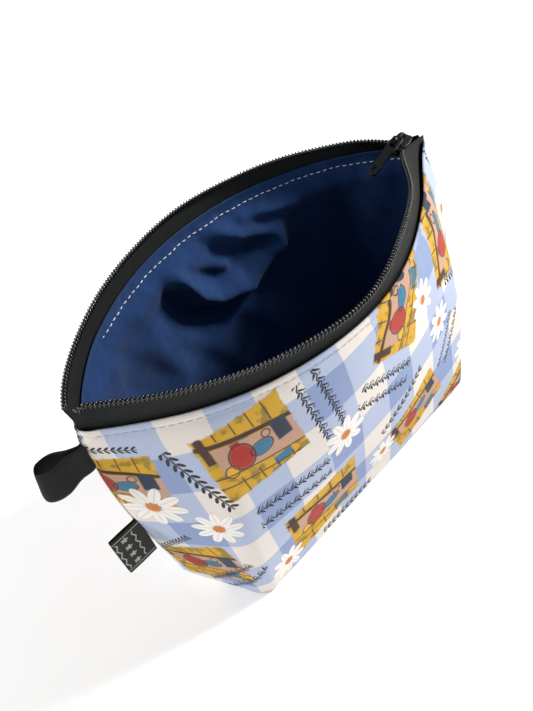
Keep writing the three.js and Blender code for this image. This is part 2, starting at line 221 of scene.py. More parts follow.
def new_object(name, points, faces, material, uv=None):
    """A mesh object from millimetre points. uv holds a pair for each point."""
    mesh = bpy.data.meshes.new(name)
    mesh.from_pydata((np.asarray(points, float) * MM).tolist(), [], [list(f) for f in faces])
    mesh.validate()
    if uv is not None:
        layer = mesh.uv_layers.new(name="flat")
        corner = np.zeros(len(mesh.loops), int)
        mesh.loops.foreach_get("vertex_index", corner)
        layer.data.foreach_set("uv", np.asarray(uv, float)[corner].ravel())
    mesh.polygons.foreach_set("use_smooth", [True] * len(mesh.polygons))
    mesh.materials.append(material)
    return placed(name, mesh)


def grid_faces(rows, columns, start=0, flip=False):
    r, c = np.meshgrid(np.arange(rows - 1), np.arange(columns - 1), indexing="ij")
    a = (start + r * columns + c).ravel()
    faces = np.stack([a, a + columns, a + columns + 1, a + 1], 1)
    return faces[:, ::-1] if flip else faces


def closed_sheet(name, outside, inside, material, uv_grid, side):
    """A closed cloth solid from two grids of the same size, the first facing out."""
    rows, columns = outside.shape[:2]
    count = rows * columns
    faces = [grid_faces(rows, columns), grid_faces(rows, columns, count, flip=True)]
    index = np.arange(count).reshape(rows, columns)
    rim = np.concatenate([index[0, :], index[1:, -1], index[-1, -2::-1], index[-2:0:-1, 0]])
    after = np.roll(rim, -1)
    faces.append(np.stack([rim, after, after + count, rim + count], 1))
    every = np.concatenate(faces)
    if side == BACK:
        every = every[:, ::-1]
    points = np.concatenate([outside.reshape(-1, 3), inside.reshape(-1, 3)])
    uv = np.concatenate([uv_grid.reshape(-1, 2)] * 2)
    return new_object(name, points, every, material, uv)


def welded(thing, distance=0.02):
    """Joins points that a collapsed row left in one place."""
    bm = bmesh.new()
    bm.from_mesh(thing.data)
    bmesh.ops.remove_doubles(bm, verts=bm.verts, dist=distance * MM)
    bmesh.ops.dissolve_degenerate(bm, edges=bm.edges, dist=distance * MM / 4)
    bm.to_mesh(thing.data)
    bm.free()
    return thing


def tube_faces(rings, sides):
    """Faces round a tube of rings of points, with both ends closed."""
    faces = []
    for i in range(rings - 1):
        for k in range(sides):
            a, b = i * sides + k, i * sides + (k + 1) % sides
            faces.append((a, b, b + sides, a + sides))
    faces.append(tuple(range(sides))[::-1])
    faces.append(tuple(range((rings - 1) * sides, rings * sides)))
    return faces


def swept_tube(path, radius, sides):
    """Points and faces of a round tube along a path."""
    path = np.asarray(path, float)
    along = np.gradient(path, axis=0)
    along /= np.linalg.norm(along, axis=1)[:, None]
    normal = np.zeros_like(path)
    seed = np.array([0, 0, 1.0]) if abs(along[0][2]) < 0.9 else np.array([1.0, 0, 0])
    for i, t in enumerate(along):
        seed = seed - t * (seed @ t)
        seed /= np.linalg.norm(seed)
        normal[i] = seed
    other = np.cross(along, normal)
    turn = np.linspace(0, 2 * math.pi, sides, endpoint=False)
    radius = np.broadcast_to(radius, (len(path),))[:, None, None]
    round_ = normal[:, None] * np.cos(turn)[None, :, None] + other[:, None] * np.sin(turn)[None, :, None]
    points = (path[:, None] + round_ * radius).reshape(-1, 3)
    return points, tube_faces(len(path), sides)


def gather(parts):
    """Joins many (points, faces) into one."""
    points, faces, start = [], [], 0
    for part_points, part_faces in parts:
        points.append(np.asarray(part_points))
        faces += [tuple(i + start for i in f) for f in part_faces]
        start += len(part_points)
    return np.concatenate(points), faces


def finish_piece(thing, body, slot, *nodes):
    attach(thing, body)
    if nodes:
        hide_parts(*nodes)
    return thing


# ---------- material building ----------

class Field:
    """A number field in a material, so that a pattern reads as arithmetic."""

    def __init__(self, tree, socket):
        self.tree, self.socket = tree, socket

    def math(self, operation, *others, clamp=False):
        node = self.tree.nodes.new("ShaderNodeMath")
        node.operation, node.use_clamp = operation, clamp
        self.tree.links.new(self.socket, node.inputs[0])
        for slot, other in enumerate(others, 1):
            if isinstance(other, Field):
                self.tree.links.new(other.socket, node.inputs[slot])
            else:
                node.inputs[slot].default_value = other
        return Field(self.tree, node.outputs[0])

    def __add__(self, other):
        return self.math("ADD", other)

    def __sub__(self, other):
        return self.math("SUBTRACT", other)

    def __mul__(self, other):
        return self.math("MULTIPLY", other)

    def __truediv__(self, other):
        return self.math("DIVIDE", other)

    def __neg__(self):
        return self.math("MULTIPLY", -1)

    def absolute(self):
        return self.math("ABSOLUTE")

    def sine(self):
        return self.math("SINE")

    def cosine(self):
        return self.math("COSINE")

    def higher(self, other):
        return self.math("MAXIMUM", other)

    def power(self, other):
        return self.math("POWER", other)

    def wrap(self, length):
        return self.math("WRAP", length, 0)

    def above(self, edge, soft=0.2):
        """1 well above edge, 0 well below it, with a soft step between."""
        return (self - edge).math("DIVIDE", 2 * soft).math("ADD", 0.5, clamp=True)

    def below(self, edge, soft=0.2):
        return (-self).above(-edge, soft)


class Paint:
    """One node material under construction."""

    def __init__(self, name, roughness, specular=0.5, sheen=0.0, coat=0.0):
        self.material = bpy.data.materials.new(name)
        self.material.use_nodes = True
        self.tree = self.material.node_tree
        self.shader = self.tree.nodes["Principled BSDF"]
        self.shader.inputs["Roughness"].default_value = roughness
        self.shader.inputs["Specular IOR Level"].default_value = specular
        self.shader.inputs["Sheen Weight"].default_value = sheen
        self.shader.inputs["Coat Weight"].default_value = coat

    def node(self, kind, **values):
        made = self.tree.nodes.new(kind)
        for key, value in values.items():
            setattr(made, key, value)
        return made

    def link(self, source, target):
        self.tree.links.new(source.socket if isinstance(source, Field) else source, target)

    def split(self, vector):
        """The three parts of a vector, as fields."""
        parts = self.node("ShaderNodeSeparateXYZ")
        self.link(vector, parts.inputs[0])
        return [Field(self.tree, socket) for socket in parts.outputs]

    def place(self):
        """(across, up) fields in millimetres from the mesh's flat map, and the map itself."""
        flat = self.node("ShaderNodeUVMap", uv_map="flat")
        across, up, _ = self.split(flat.outputs[0])
        return across, up, flat.outputs[0]

    def solid_place(self):
        """Object coordinates in millimetres."""
        coordinates = self.node("ShaderNodeTexCoord")
        scale = self.node("ShaderNodeVectorMath", operation="SCALE")
        scale.inputs["Scale"].default_value = 1 / MM
        self.link(coordinates.outputs["Object"], scale.inputs[0])
        return scale.outputs[0]

    def noise(self, vector, scale, detail=2.0, roughness=0.5):
        texture = self.node("ShaderNodeTexNoise")
        texture.inputs["Scale"].default_value = scale
        texture.inputs["Detail"].default_value = detail
        texture.inputs["Roughness"].default_value = roughness
        self.link(vector, texture.inputs["Vector"])
        return Field(self.tree, texture.outputs[0])

    def mix(self, below, above, amount):
        """Paints colour above over colour below where amount is 1. Colours are tuples or sockets."""
        made = self.node("ShaderNodeMix", data_type="RGBA")
        self.link(amount, made.inputs["Factor"])
        for slot, value in ((6, below), (7, above)):
            if isinstance(value, tuple):
                made.inputs[slot].default_value = (*value, 1)
            else:
                self.link(value, made.inputs[slot])
        return made.outputs[2]

    def colour(self, value):
        if isinstance(value, tuple):
            self.shader.inputs["Base Color"].default_value = (*value, 1)
        else:
            self.link(value, self.shader.inputs["Base Color"])

    def rough(self, value):
        self.link(value, self.shader.inputs["Roughness"])

    def bump(self, height, depth_mm):
        """height is a field from 0 to 1 that stands depth_mm out of the surface."""
        made = self.node("ShaderNodeBump")
        made.inputs["Distance"].default_value = depth_mm * MM
        self.link(height, made.inputs["Height"])
        self.link(made.outputs[0], self.shader.inputs["Normal"])


def rgb(text):
    """A linear colour from an sRGB hex string."""
    values = (int(text[i:i + 2], 16) / 255 for i in (1, 3, 5))
    return tuple(v / 12.92 if v <= 0.04045 else ((v + 0.055) / 1.055) ** 2.4 for v in values)


def plain_weave(across, up, pitch):
    """Over-and-under threads, as a height from 0 to 1."""
    turn = 2 * math.pi / pitch
    warp = (across * turn).sine() * 0.5 + 0.5
    weft = (up * turn).sine() * 0.5 + 0.5
    over = ((across * (turn / 2)).sine() * (up * (turn / 2)).sine()) * 0.5 + 0.5
    return warp * over + weft * (over * -1 + 1)


# ---------- the printed cotton ----------

CHECK = 18.1  # side of one gingham check
CHECK_TURN = math.radians(6)
CHECK_AT = (-73, 37)  # middle of one cream check
# Motifs on a panel: (along, up, turn in degrees, half length)
DAISIES = [
    (-104, 72, 10, 12.5), (-84, 58, 30, 10.5), (-60, 12, 5, 10), (-22, 70, 20, 11), (4, 24.5, 40, 9.5),
    (39, 92, 15, 9.5), (51, 69, 35, 10), (77, 30, 0, 11), (98, 92, 25, 10), (88, 58, 12, 9.5),
]
TILES = [
    (-60, 92, 12, 19), (20, 104, 66, 20), (-35, 28, 8, 21), (-112, 86, 2, 17), (-99, 25, 18, 18),
    (31, 27, 25, 19), (72, 100, 80, 19), (72, 4, 40, 16), (106, 40, -50, 17),
]
GARLANDS = [
    (-83, 85, -62, 17.5), (-111, 105, -5, 12), (-107, 42, 43, 12), (17, 50.5, 30, 17), (-20, 5, 3, 17),
    (80, 76, -20, 18), (100, 12, 70, 17),
]
VINES = [
    (-30, 93, -77, 18), (4, 75, -23, 19), (-49, 57, 2, 19), (-86, 15, 47, 18), (60, 50, 60, 15),
    (112, 106, -80, 15),
]
PETALS = 9
CREAM, PALE_BLUE, MID_BLUE = rgb("#d9d2ca"), rgb("#a7b2ca"), rgb("#8193b8")
INK, PETAL, POLLEN = rgb("#101018"), rgb("#e9e4dc"), rgb("#c9741a")
YELLOW, OLIVE, TAN, BROWN = rgb("#c99a10"), rgb("#8f7418"), rgb("#b8917a"), rgb("#3d1d10")
RED, TEAL, SLATE, GOLD = rgb("#a3261c"), rgb("#2b6f8c"), rgb("#1d2c40"), rgb("#dba51c")


def local_place(paint, flat, motifs, tall=1.0):
    """(x, y, found): place inside whichever motif covers this point, from -1 to 1, and whether one does."""
    chosen, found = None, None
    for along, up, degrees, half in motifs:
        mapping = paint.node("ShaderNodeMapping", vector_type="TEXTURE")
        mapping.inputs["Location"].default_value = (along, up, 0)
        mapping.inputs["Rotation"].default_value = (0, 0, math.radians(degrees))
        mapping.inputs["Scale"].default_value = (half, half, 1)
        paint.link(flat, mapping.inputs["Vector"])
        x, y, _ = paint.split(mapping.outputs[0])
        inside = x.absolute().below(1.02, 0.001) * y.absolute().below(tall * 1.02, 0.001)
        if chosen is None:
            chosen, found = mapping.outputs[0], inside
            continue
        pick = paint.node("ShaderNodeMix", data_type="VECTOR")
        paint.link(inside, pick.inputs["Factor"])
        paint.link(chosen, pick.inputs[4])
        paint.link(mapping.outputs[0], pick.inputs[5])
        chosen, found = pick.outputs[1], found.higher(inside)
    x, y, _ = paint.split(chosen)
    return x, y, found


def gingham(paint, across, up):
    c, s = math.cos(CHECK_TURN), math.sin(CHECK_TURN)
    a = (across - CHECK_AT[0]) * c + (up - CHECK_AT[1]) * s
    b = (up - CHECK_AT[1]) * c - (across - CHECK_AT[0]) * s
    stripes = [(f * (math.pi / CHECK)).cosine().below(0, 0.03) for f in (a, b)]
    tone = paint.mix(CREAM, PALE_BLUE, stripes[0].higher(stripes[1]))
    return paint.mix(tone, MID_BLUE, stripes[0] * stripes[1])


def away(x, y, middle=(0, 0), squeeze=1.0):
    """Distance from a point."""
    dx, dy = x - middle[0], (y - middle[1]) * squeeze
    return (dx * dx + dy * dy).power(0.5)


def circle(x, y, middle, radius, soft=0.03, squeeze=1.0):
    return away(x, y, middle, squeeze).below(radius, soft)


def box(x, y, low, high, soft=0.02):
    middle = [(low[i] + high[i]) / 2 for i in (0, 1)]
    half = [(high[i] - low[i]) / 2 for i in (0, 1)]
    return (x - middle[0]).absolute().below(half[0], soft) * (y - middle[1]).absolute().below(half[1], soft)


def ring(x, y, middle, radius, width, squeeze=1.0):
    return (away(x, y, middle, squeeze) - radius).absolute().below(width, 0.01)


def tile_print(paint, under, flat):
    """A made-up still life: cupboards over a table with a jug, a bowl and fruit."""
    x, y, found = local_place(paint, flat, TILES, tall=0.85)
    wobble = paint.noise(flat, 0.35, 2) * 0.12 - 0.06
    edge = found * (x.absolute() + wobble).below(0.97, 0.02) * (y.absolute() + wobble).below(0.82, 0.02)
    slope = y + x * 0.22
    art = paint.mix(YELLOW, OLIVE, paint.noise(flat, 0.2, 2).above(0.56, 0.05))
    art = paint.mix(art, TAN, slope.absolute().below(0.34, 0.02) * x.above(-0.72, 0.02))
    art = paint.mix(art, BROWN, slope.math("SUBTRACT", 0.42).absolute().below(0.055, 0.015))
    art = paint.mix(art, BROWN, box(x, y, (-0.9, 0.2), (-0.72, 0.86)))
    art = paint.mix(art, SLATE, box(x, y, (0.5, -0.2), (0.84, 0.3)))
    art = paint.mix(art, TEAL, circle(x, y, (0.16, -0.06), 0.24, squeeze=1.5))
    art = paint.mix(art, RED, circle(x, y, (-0.26, 0.02), 0.25, squeeze=0.85))
    art = paint.mix(art, RED, box(x, y, (-0.36, 0.18), (-0.16, 0.4)))
    art = paint.mix(art, GOLD, circle(x, y, (-0.58, -0.16), 0.13))
    art = paint.mix(art, TEAL, box(x, y, (0.2, -0.72), (0.62, -0.5)))
    lines = ring(x, y, (-0.26, 0.02), 0.26, 0.018, 0.85).higher(ring(x, y, (0.16, -0.06), 0.25, 0.018, 1.5))
    lines = lines.higher(ring(x, y, (-0.58, -0.16), 0.14, 0.016))
    lines = lines.higher(ring(x, y, (0.36, 0.16), 0.09, 0.016))
    for middle in (-0.5, -0.12, 0.24, 0.6):
        lines = lines.higher((x - middle).absolute().below(0.016, 0.01) * slope.absolute().above(0.5, 0.02))
    for middle in (-0.36, -0.62):
        lines = lines.higher((slope - middle).absolute().below(0.018, 0.01))
    art = paint.mix(art, BROWN, lines * 0.9)
    return paint.mix(under, art, edge)


def daisy_print(paint, under, flat):
    x, y, found = local_place(paint, flat, DAISIES)
    reach = away(x, y)
    sector = 2 * math.pi / PETALS
    turn = (y.math("ARCTAN2", x) + 10 * sector).wrap(sector) - sector / 2
    along, across = (reach * turn.cosine() - 0.6) / 0.39, reach * turn.sine() / 0.18
    petal = away(along, across)
    drawn = petal.below(1, 0.05) * found
    under = paint.mix(under, PETAL, drawn)
    under = paint.mix(under, rgb("#8f8a90"), across.absolute().below(0.12, 0.1) * drawn * 0.35)
    under = paint.mix(under, rgb("#77727c"), (petal - 1.04).absolute().below(0.05, 0.04) * found * 0.3)
    return paint.mix(under, POLLEN, reach.below(0.21, 0.03) * found)


def garland_print(paint, under, flat):
    """A straight row of bold leaves in pairs."""
    x, y, found = local_place(paint, flat, GARLANDS, tall=0.2)
    step, lean = 0.19, math.radians(38)
    u, v = (x + 10).wrap(step) - step / 2, y.absolute() - 0.085
    along, across = u * math.cos(lean) + v * math.sin(lean), v * math.cos(lean) - u * math.sin(lean)
    leaf = (along * along / 0.0095 + across * across / 0.0016).below(1, 0.1)
    stem = y.absolute().below(0.018, 0.01)
    return paint.mix(under, INK, leaf.higher(stem) * found)


def leaf_shape(x, y, middle, lean, long, wide):
    """A filled leaf about a middle point, turned by lean."""
    dx, dy = x - middle[0], y - middle[1]
    along, across = dx * math.cos(lean) + dy * math.sin(lean), dy * math.cos(lean) - dx * math.sin(lean)
    return (along * along / long ** 2 + across * across / wide ** 2).below(1, 0.15)


def vine_print(paint, under, flat):
    """Two waving stems side by side, with a leaf to either side in turn and a berry between."""
    x, y, found = local_place(paint, flat, VINES, tall=0.5)
    for shift, step in ((0.24, 0.21), (-0.24, 0.24)):
        beat = 2 * math.pi / step
        u = (x + 10).wrap(step) - step / 2
        v = y - shift - (u * beat).sine() * 0.035
        drawn = (v.absolute() / ((u * beat).cosine().absolute() * 0.5 + 1)).below(0.017, 0.008)
        drawn = drawn.higher(leaf_shape(u, v, (-0.03, 0.085), 0.9, 0.075, 0.03))
        drawn = drawn.higher(leaf_shape(u, v, (0.05, -0.08), -0.9, 0.07, 0.028))
        drawn = drawn.higher(circle(u, v, (0.07, 0.075), 0.02))
        under = paint.mix(under, INK, drawn * x.absolute().below(0.95, 0.01) * found)
    return under


def printed_cotton():
    paint = Paint("printed_cotton", roughness=0.88, specular=0.15)
    across, up, flat = paint.place()
    colour = gingham(paint, across, up)
    colour = tile_print(paint, colour, flat)
    colour = garland_print(paint, colour, flat)
    colour = vine_print(paint, colour, flat)
    colour = daisy_print(paint, colour, flat)
    soil = paint.noise(flat, 0.06, 3)
    colour = paint.mix(colour, rgb("#b5aca6"), soil * 0.16)
    weave = plain_weave(across, up, 0.42)
    # painted shade: the cloth is tinted darker blue-grey in the weave's hollows between the threads
    colour = paint.mix(colour, rgb("#5d6478"), (weave * -1 + 1) * 0.08)
    paint.colour(colour)
    fuzz = paint.noise(flat, 3.0, 3)
    paint.bump(weave * 0.7 + fuzz * 0.3, 0.06)
    return paint.material


def navy_cotton():
    paint = Paint("navy_cotton", roughness=0.85, specular=0.15, sheen=0.08)
    across, up, flat = paint.place()
    weave = plain_weave(across, up, 0.45)
    cloud = paint.noise(flat, 0.25, 4)
    colour = paint.mix(rgb("#152e59"), rgb("#23497f"), cloud)
    # painted shade: the lining is darkened in the weave's hollows between the threads
    colour = paint.mix(colour, rgb("#0a1630"), (weave * -1 + 1) * 0.45)
    paint.colour(colour)
    paint.bump(weave, 0.07)
    return paint.material


def wadding():
    paint = Paint("wadding", roughness=1.0, specular=0.1, sheen=0.2)
    place = paint.solid_place()
    fibre = paint.noise(place, 1.4, 6, 0.7)
    paint.colour(paint.mix(rgb("#d9d5cc"), rgb("#f4f2ec"), fibre))
    paint.bump(fibre, 0.3)
    return paint.material


def twill_tape():
    """Black zip tape: fine ribs that lean one way and then the other, in narrow bands."""
    paint = Paint("twill_tape", roughness=0.7, specular=0.25)
    across, up, flat = paint.place()
    lean, turn = up * 1.6, 2 * math.pi / 0.9
    rib = ((across + lean) * turn).sine() * 0.5 + 0.5
    cross = ((across - lean) * turn).sine() * 0.5 + 0.5
    chevron = paint.node("ShaderNodeMix", data_type="FLOAT")
    column = (up.wrap(2.2)).above(1.1, 0.05)
    paint.link(column, chevron.inputs["Factor"])
    paint.link(rib, chevron.inputs[2])
    paint.link(cross, chevron.inputs[3])
    weave = Field(paint.tree, chevron.outputs[0])
    speck = paint.noise(flat, 4.0, 3)
    # painted shade: the ribs' hollows are darker than their crests; the pale flecks are the tape's own
    # colour
    colour = paint.mix(rgb("#030404"), rgb("#262b29"), weave * 0.25 + speck.above(0.55, 0.15) * 0.7)
    paint.colour(colour)
    paint.bump(weave * 0.5 + speck * 0.5, 0.25)
    return paint.material


def black_nylon():
    paint = Paint("black_nylon", roughness=0.28, specular=0.6, coat=0.3)
    place = paint.solid_place()
    wear = paint.noise(place, 0.6, 4)
    paint.colour(paint.mix(rgb("#030303"), rgb("#0c0d0d"), wear))
    paint.rough(wear * 0.25 + 0.2)
    return paint.material


def black_enamel():
    paint = Paint("black_enamel", roughness=0.45, specular=0.4, coat=0.15)
    place = paint.solid_place()
    rub = paint.noise(place, 0.9, 4).above(0.62, 0.05)
    paint.colour(paint.mix(rgb("#060606"), rgb("#1c1b1a"), rub * 0.35))
    grain = paint.noise(place, 2.5, 3)
    paint.rough(grain * 0.22 + 0.22)
    paint.bump(grain, 0.03)
    return paint.material


def ribbed_webbing():
    paint = Paint("ribbed_webbing", roughness=0.75, specular=0.2)
    across, up, flat = paint.place()
    rib = (across * (2 * math.pi / 1.1)).sine() * 0.5 + 0.5
    weft = plain_weave(across, up, 0.55)
    selvedge = up.absolute().above(6.3, 0.15)
    height = rib * (selvedge * -1 + 1) * 0.7 + weft * 0.3
    # painted shade: the ribs' grooves are darker than their crests
    colour = paint.mix(rgb("#050506"), rgb("#1a1a1d"), height)
    paint.colour(paint.mix(colour, rgb("#2a2a2c"), selvedge * 0.35))
    paint.bump(height, 0.16)
    return paint.material


def woven_label():
    """Black damask label with a border and a row of small pale flowers between chevrons."""
    paint = Paint("woven_label", roughness=0.65, specular=0.25)
    across, up, flat = paint.place()
    pale = rgb("#a9a8a2")
    weave = plain_weave(across, up, 0.35)
    # painted shade: the threads' hollows are darker than their crests
    ground = paint.mix(rgb("#0a0a09"), rgb("#1f1f1c"), weave)
    half = LABEL_WIDE / 2
    border = (up.absolute() - (half - 2.2)).absolute().below(0.22, 0.08)
    fold = up.wrap(6.0) - 3.0
    from_centre = (across - LABEL_OUT).absolute() - LABEL_OUT * 0.38
    lobes = (fold.math("ARCTAN2", from_centre) * 2.5).cosine().absolute()
    petals = away(fold, from_centre) - lobes
    bloom = petals.below(0.75, 0.1)
    chevron = (from_centre.absolute() - 3.6 - fold.absolute() * 0.4).absolute().below(0.3, 0.08)
    mark = (bloom.higher(chevron) * up.absolute().below(half - 3.4, 0.1)).higher(border)
    # painted shade: the pale marks are also dimmer in the threads' hollows
    paint.colour(paint.mix(ground, pale, mark * (weave * 0.3 + 0.6)))
    paint.bump(weave * 0.6 + mark * 0.4, 0.09)
    return paint.material


def twisted_thread(name, light, dark):
    paint = Paint(name, roughness=0.6, specular=0.3, sheen=0.2)
    x, _, z = paint.split(paint.solid_place())
    ply = (x + z) * (2 * math.pi / 0.5)
    twist = ply.sine() * 0.5 + 0.5
    # painted shade: the grooves between the plies are darker than their crests
    paint.colour(paint.mix(rgb(dark), rgb(light), twist))
    paint.bump(twist, 0.05)
    return paint.material


# ---------- cloth pieces ----------

COLUMNS, ROWS, FOLD_ROWS, BASE_ROWS = 230, 96, 6, 14


def panel_columns():
    """Columns round a panel, closer together at the side seams."""
    even = np.linspace(-1, 1, COLUMNS)
    return GIRTH / 2 * (0.9 * even + 0.1 * np.sin(even * math.pi / 2))


def panel_rows(top):
    """Heights from the top edge down to the fold, closer together at the edge."""
    t = np.linspace(0, 1, ROWS)
    return top - (top - FOLD_R) * (0.82 * t + 0.18 * t ** 3)


CORNER_LIFT = 3  # how much higher the outer cloth stands in the slider's corner


def lifted(along, z, lift=CORNER_LIFT):
    """Height of a point on a wall: the cloth stands up a little towards the slider's end."""
    return z + lift * smooth(along, 30, 105) * (z / EDGE_Z) ** 4


def panel_grid(side, inset, swell, top, along, lift=0):
    """Points of a wall, its fold and its half of the base, and their places on the flat cloth."""
    heights = panel_rows(top)
    wall = [wall_row(side, along, z, inset - swell(along, z), lifted(along, z, lift)) for z in heights]
    turns = np.linspace(0, math.pi / 2, FOLD_ROWS + 1)[1:]
    radius = FOLD_R - inset
    for turn in turns:
        z = FOLD_R - radius * math.sin(turn)
        level = FOLD_R - radius * math.cos(turn) - swell(along, FOLD_R) * math.cos(turn)
        wall.append(wall_row(side, along, FOLD_R, level, z))
    fold = wall[-1]
    seam = SEAM_Y + side * SEAM_CLEAR
    shares = np.linspace(0, 1, BASE_ROWS)[1:]
    for share in shares:
        inner = fold.copy()
        inner[:, 1] += (seam - fold[:, 1]) * share
        wall.append(inner)
    drop = np.concatenate([heights, FOLD_R - FOLD_R * turns, -shares * BASE_DEPTH_HALF])
    flat = np.stack(np.broadcast_arrays(along[None, :], drop[:, None]), -1)
    return np.array(wall), flat


CLOTH_THICK = 0.7
LINING_INSET = 3.4


def make_outer_panels(material):
    along = panel_columns()
    for word, side in SIDES:
        swell = outer_swell(side)
        outside, flat = panel_grid(side, 0, swell, EDGE_Z, along, CORNER_LIFT)
        inside, _ = panel_grid(side, CLOTH_THICK, swell, EDGE_Z, along, CORNER_LIFT)
        if side == BACK:
            flat = flat * [-1, 1]
        thing = welded(closed_sheet(f"{word}_printed_panel", outside, inside, material, flat, side))
        finish_piece(thing, "bag", "printed_cotton", f"{word}_outer_panel")


def make_wadding(material):
    along = panel_columns()[::3]
    for word, side in SIDES:
        swell = outer_swell(side)
        top = node_box(f"{word}_fleece")[1][2]
        outside, flat = panel_grid(side, 1.0, swell, top, along)
        inside, _ = panel_grid(side, 2.4, swell, top, along)
        thing = welded(closed_sheet(f"{word}_wadding", outside, inside, material, flat, side))
        finish_piece(thing, "bag", "fleece", f"{word}_fleece")


def crease(along, up, line, width):
    """1 along a bent line of (along, up) points, falling away over width on both sides."""
    nearest = np.full(np.broadcast(along, up).shape, 1e9)
    for (a0, u0), (a1, u1) in zip(line, line[1:]):
        da, du = a1 - a0, u1 - u0
        share = np.clip(((along - a0) * da + (up - u0) * du) / (da * da + du * du), 0, 1)
        nearest = np.minimum(nearest, np.hypot(along - a0 - share * da, up - u0 - share * du))
    return np.exp(-((nearest / width) ** 2))


# Folds of the loose lining: (points of a line, width, how far it hangs in)
BACK_FOLDS = [
    ([(-22, 101), (-14, 87), (-5, 79), (14, 77), (38, 86)], 5.2, 7.5),
    ([(-26, 95), (-20, 79), (-6, 71), (16, 68)], 4.6, -4.5),
    ([(12, 68), (22, 50), (24, 30)], 9, 5),
    ([(-18, 109), (-8, 98), (6, 90)], 3.4, 2.2),
    ([(6, 110), (20, 98), (40, 92)], 3.6, 3.4),
    ([(0, 104), (12, 94)], 3, -1.2),
    ([(24, 106), (52, 100)], 3.4, 2.4),
    ([(-44, 84), (-38, 60), (-42, 36)], 8, 3.2),
    ([(-12, 56), (-2, 34)], 7, 3),
    ([(-78, 92), (-70, 50)], 9, 2.5),
]
FRONT_FOLDS = [
    ([(-44, 90), (-26, 50), (-20, 26)], 11, 8),
    ([(46, 92), (33, 60), (30, 28)], 11, 7),
]
LINING_SLACK = 4.5  # how far the lining hangs in between its folds


def lining_sag(side):
    """How far the loose lining hangs in from the wadding."""
    def sag(along, up):
        down = EDGE_Z - up
        free = smooth(down, 2, 13) * smooth(up, 0, 16) * smooth(GIRTH / 2 - np.abs(along), 2, 26)
        folds = sum(deep * crease(along, up, line, width)
                    for line, width, deep in (BACK_FOLDS if side == BACK else FRONT_FOLDS))
        fine = 0.6 * np.sin(along / 6 + up / 9 + side) * np.sin(up / 7 - along / 21)
        fine = fine + 0.35 * np.sin(along / 3.1 + up / 15) * np.sin(up / 4.3 + along / 9)
        return -(LINING_SLACK + folds + fine) * free - 0.35 * puckers(along, down) * smooth(down, 0, 4)
    return sag


def make_linings(material):
    along = panel_columns()
    for word, side in SIDES:
        sag = lining_sag(side)
        outside, flat = panel_grid(side, LINING_INSET - 0.4, sag, EDGE_Z, along)
        inside, _ = panel_grid(side, LINING_INSET, sag, EDGE_Z, along)
        thing = welded(closed_sheet(f"{word}_lining_cloth", outside, inside, material, flat, side))
        finish_piece(thing, "bag", "lining_cotton", f"{word}_lining")


# ---------- zip ----------

TAPE_SLOT, TAPE_THICK = 2, 0.45
TAPE_FOOT = node_box("front_zip_tape")[0][2]
COIL_PITCH, COIL_OVER, COIL_DEEP, WIRE_R = 1.6, 0.9, 0.85, 0.38
COIL_R = 1.25
LIP_LEFT_Z, LIP_RIGHT_Z = 124, 120.8
LIP_APART, TAPE_APART = 1.75, 2.4  # half the space between the coils, and between the tapes, at the slider
COIL_ENDS = {FRONT: (-95, 84.3), BACK: (-96.4, 87.2)}
SLIDER_LOW, SLIDER_HIGH = node_box("zip_slider_body")
ZIP_Y = (SLIDER_LOW[1] + SLIDER_HIGH[1]) / 2


def lip_inset(side, share):
    """How far in from the mouth's outline a coil lies, by its share of the way to the right seam."""
    if side == FRONT:
        return 2.6 - 3 * smooth(share, 0, 0.2) + 3.6 * smooth(share, 0.45, 0.7)
    return 0.4 + 1.6 * smooth(share, 0, 0.3)


LIP_BEND = {FRONT: (58, 86, 2.5), BACK: (58, 88, 8)}  # from where to where, and how late, a coil bends in


def lip_row(side, along, extra, drop, apart):
    """The line of a coil, moved in by extra and down by drop, and this far apart at the slider."""
    share = along / GIRTH + 0.5
    line = wall_row(side, along, MOUTH_Z, lip_inset(side, share) + extra)
    x, seam = line[:, 0], seam_y(MOUTH_Z)
    low, high, late = LIP_BEND[side]
    bend = np.clip((x - low) / (high - low), 0, 1) ** late
    free = np.maximum(side * (line[:, 1] - seam), LIP_APART - extra)
    past = np.clip((x - SLIDER_HIGH[0]) / (MOUTH_RIGHT - SLIDER_HIGH[0]), 0, 1)
    near = apart + (0.5 - apart) * past - extra
    middle = ZIP_Y + (seam - ZIP_Y) * past
    y = (1 - bend) * (seam + side * free) + bend * (middle + side * near)
    height = LIP_LEFT_Z + (LIP_RIGHT_Z - LIP_LEFT_Z) * smooth(share, 0, 1) - drop
    wave = 0.35 * np.sin(along / 21 + side) + 0.2 * np.sin(along / 8.5 + 2 * side)
    return np.stack([x, y, height + wave * (1 - bend)], -1)


TAPE_RISES = np.linspace(1, 0, 16)


def tape_grid(side, along, extra):
    """A tape from the coil, over the edge of the cloth, and down to its sewn foot."""
    top = lip_row(side, along, extra, COIL_R - 0.55, TAPE_APART)
    edge = wall_row(side, along, EDGE_Z, TAPE_SLOT + extra, EDGE_Z + 0.4)
    knee = edge + (top - edge) * [0.1, 0.1, 0.5]
    rows = [top * t * t + 2 * knee * t * (1 - t) + edge * (1 - t) ** 2 for t in TAPE_RISES]
    rows += [wall_row(side, along, z, np.full_like(along, TAPE_SLOT + extra))
             for z in np.linspace(EDGE_Z - 0.8, TAPE_FOOT, 6)]
    return np.array(rows)


def make_tapes(material):
    along = panel_columns()
    free = LIP_LEFT_Z - COIL_R - EDGE_Z
    drop = np.concatenate([TAPE_RISES * free, np.linspace(-0.8, TAPE_FOOT - EDGE_Z, 6)])
    flat = np.stack(np.broadcast_arrays(along[None, :], drop[:, None]), -1)
    for word, side in SIDES:
        outside = tape_grid(side, along, -TAPE_THICK / 2)
        inside = tape_grid(side, along, TAPE_THICK / 2)
        thing = welded(closed_sheet(f"{word}_tape_weave", outside, inside, material, flat, side))
        finish_piece(thing, "bag", "zip_tape", f"{word}_zip_tape")


